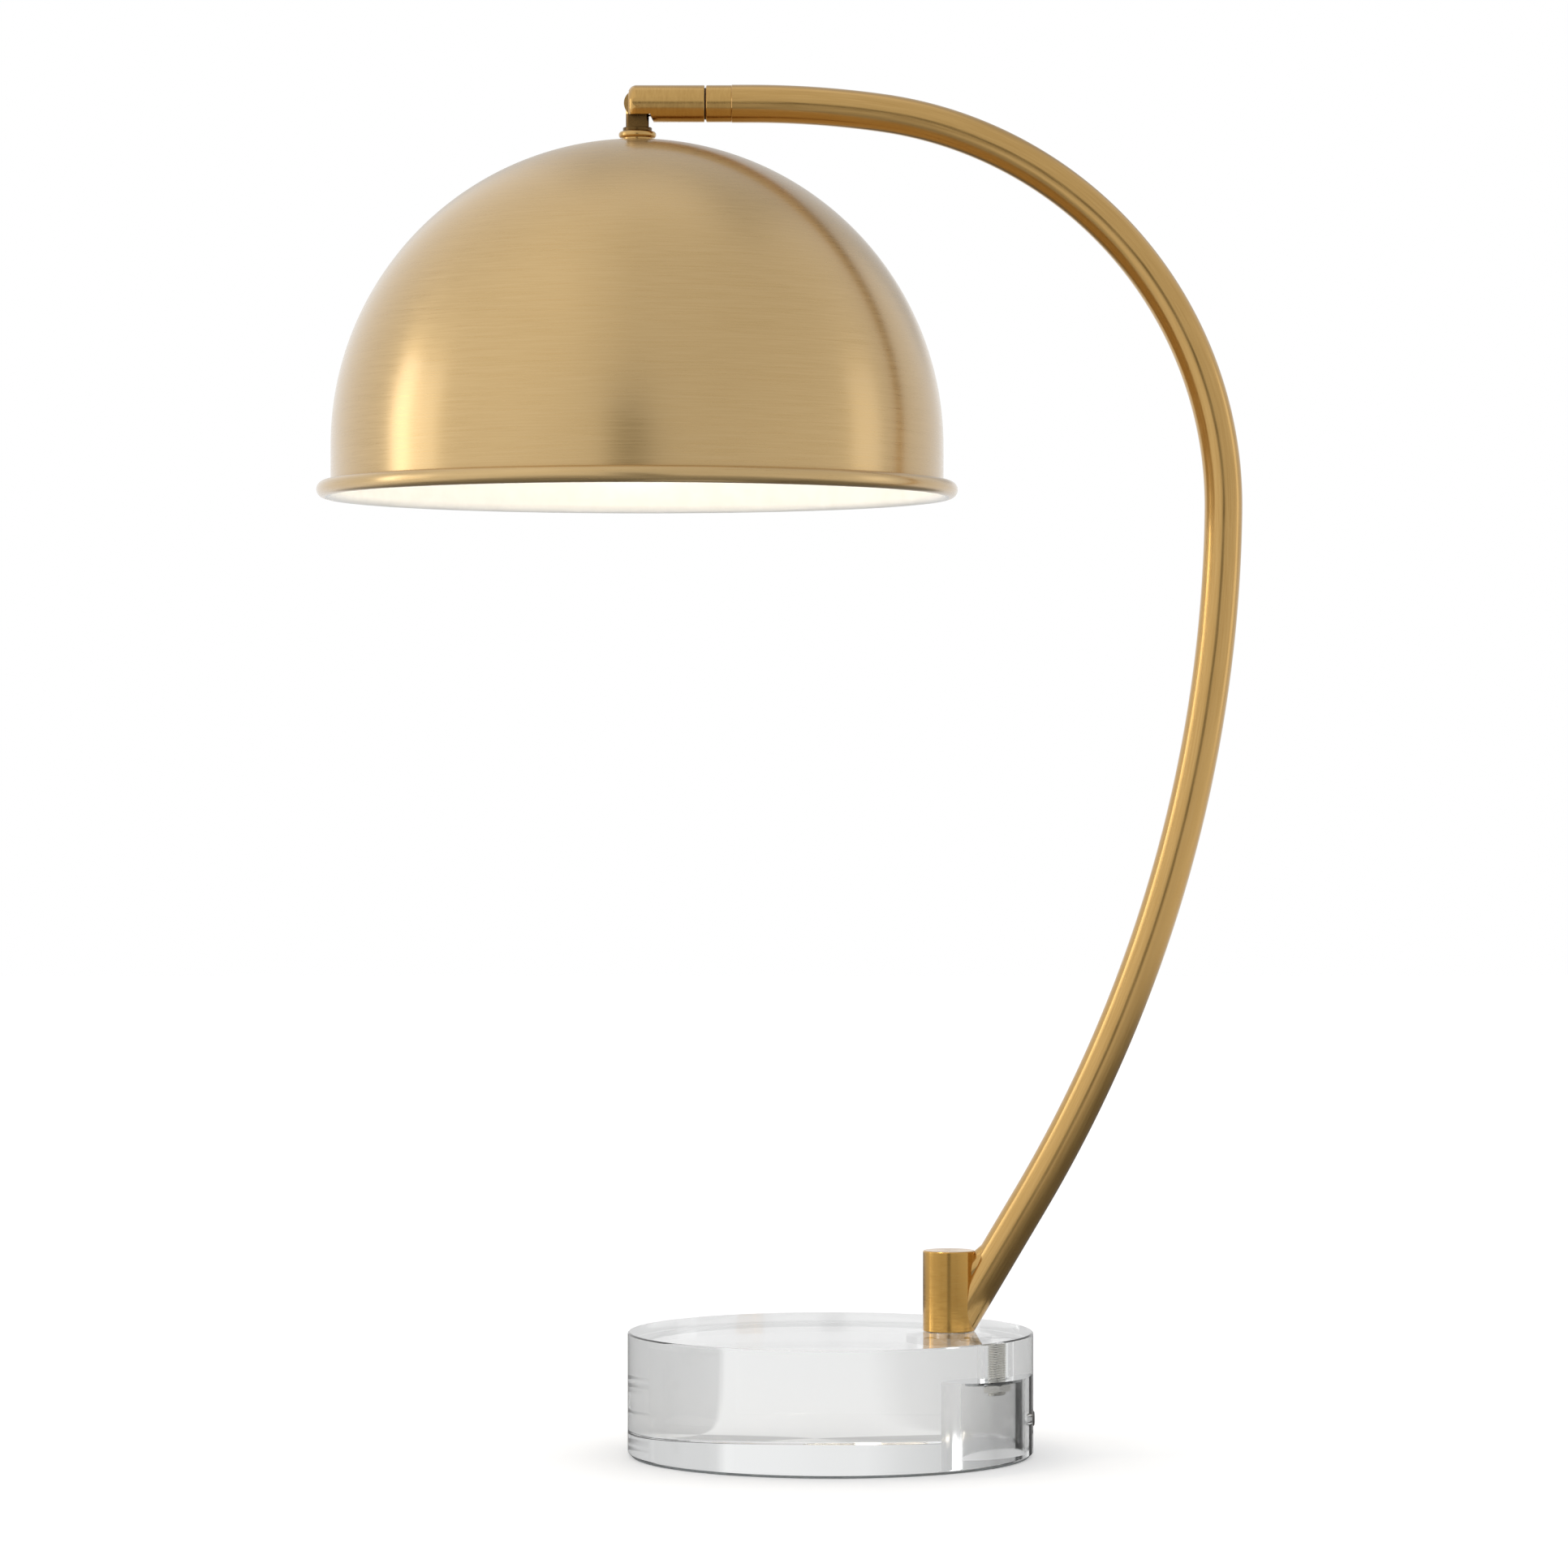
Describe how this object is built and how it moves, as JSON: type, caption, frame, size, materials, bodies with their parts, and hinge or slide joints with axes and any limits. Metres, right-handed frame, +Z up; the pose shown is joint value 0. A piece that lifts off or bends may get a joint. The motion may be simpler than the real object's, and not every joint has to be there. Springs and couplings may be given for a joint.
{
  "type": "desk lamp",
  "caption": "Desk lamp: clear round base, short post, bowed tube arm over a domed shade with rolled rim, swivel and tilt knuckle, turn switch on the lampholder.",
  "frame": {"origin": "on the table, at the centre of the round base's underside", "axes": "+Z up; +X from the shade towards the arm's bow; the arm lies in the XZ plane, so +Y is square to it"},
  "size_m": [0.3903, 0.2702, 0.578],
  "materials": {
    "base_clear": "polished clear crystal",
    "foot_clear": "clear soft silicone",
    "bushing_dark": "moulded nylon",
    "brass_arm": "drawn tube, satin brushed lengthwise and lacquered",
    "brass_turned": "turned and satin lacquered",
    "brass_shade": "spun sheet, satin brushed round and lacquered",
    "brass_bare": "drawn thin sheet, bright",
    "steel_plated": "bright nickel plated",
    "washer_clear": "moulded clear polycarbonate",
    "spring_steel": "spring steel, oiled",
    "washer_dark": "moulded low friction plastic",
    "switch_moulding": "moulded thermoset",
    "liner_card": "pressed insulating card",
    "key_moulding": "moulded thermoset, polished",
    "bulb_cap_plated": "nickel plated sheet",
    "bulb_insulator_dark": "moulded insulator",
    "bulb_white": "moulded white body",
    "bulb_opal": "opal diffuser"
  },
  "bodies": {
    "stand": {"base_block": "base_clear", "base_foot_ring": "foot_clear", "cable_bushing": "bushing_dark", "post": "brass_turned", "post_stud": "steel_plated", "clamp_washer": "washer_clear", "lock_washer": "spring_steel", "clamp_nut": "steel_plated", "arm_tube": "brass_arm", "arm_ferrule": "brass_turned", "stop_pin": "steel_plated", "swivel_washer": "washer_dark"},
    "swivel": {"swivel_body": "brass_turned", "wave_washer": "spring_steel", "snap_ring": "spring_steel", "pivot_pin": "brass_turned"},
    "shade_head": {"tilt_tongue": "brass_turned", "check_ring": "brass_turned", "shade": "brass_shade", "shade_inner_washer": "steel_plated", "shade_nut": "steel_plated", "holder_cap": "brass_bare", "holder_shell": "brass_bare", "switch_block": "switch_moulding", "screw_shell": "brass_bare", "holder_liner": "liner_card", "centre_contact": "brass_bare", "bulb_tip": "steel_plated", "bulb_insulator": "bulb_insulator_dark", "bulb_cap": "bulb_cap_plated", "bulb_body": "bulb_white", "bulb_diffuser": "bulb_opal"},
    "key": {"switch_key": "key_moulding"}
  },
  "joints": [
    {"name": "head_swivel", "type": "hinge", "parent": "stand", "child": "swivel", "pos_m": [-0.04233, 0, 0.56997], "axis": [1, 0, 0], "range_deg": [-90, 90]},
    {"name": "shade_tilt", "type": "hinge", "parent": "swivel", "child": "shade_head", "pos_m": [-0.08143, 0, 0.56997], "axis": [0, 1, 0], "range_deg": [-10, 90]},
    {"name": "switch_turn", "type": "hinge", "parent": "shade_head", "child": "key", "pos_m": [-0.10143, 0, 0.52553], "axis": [-1, 0, 0], "continuous": true}
  ]
}
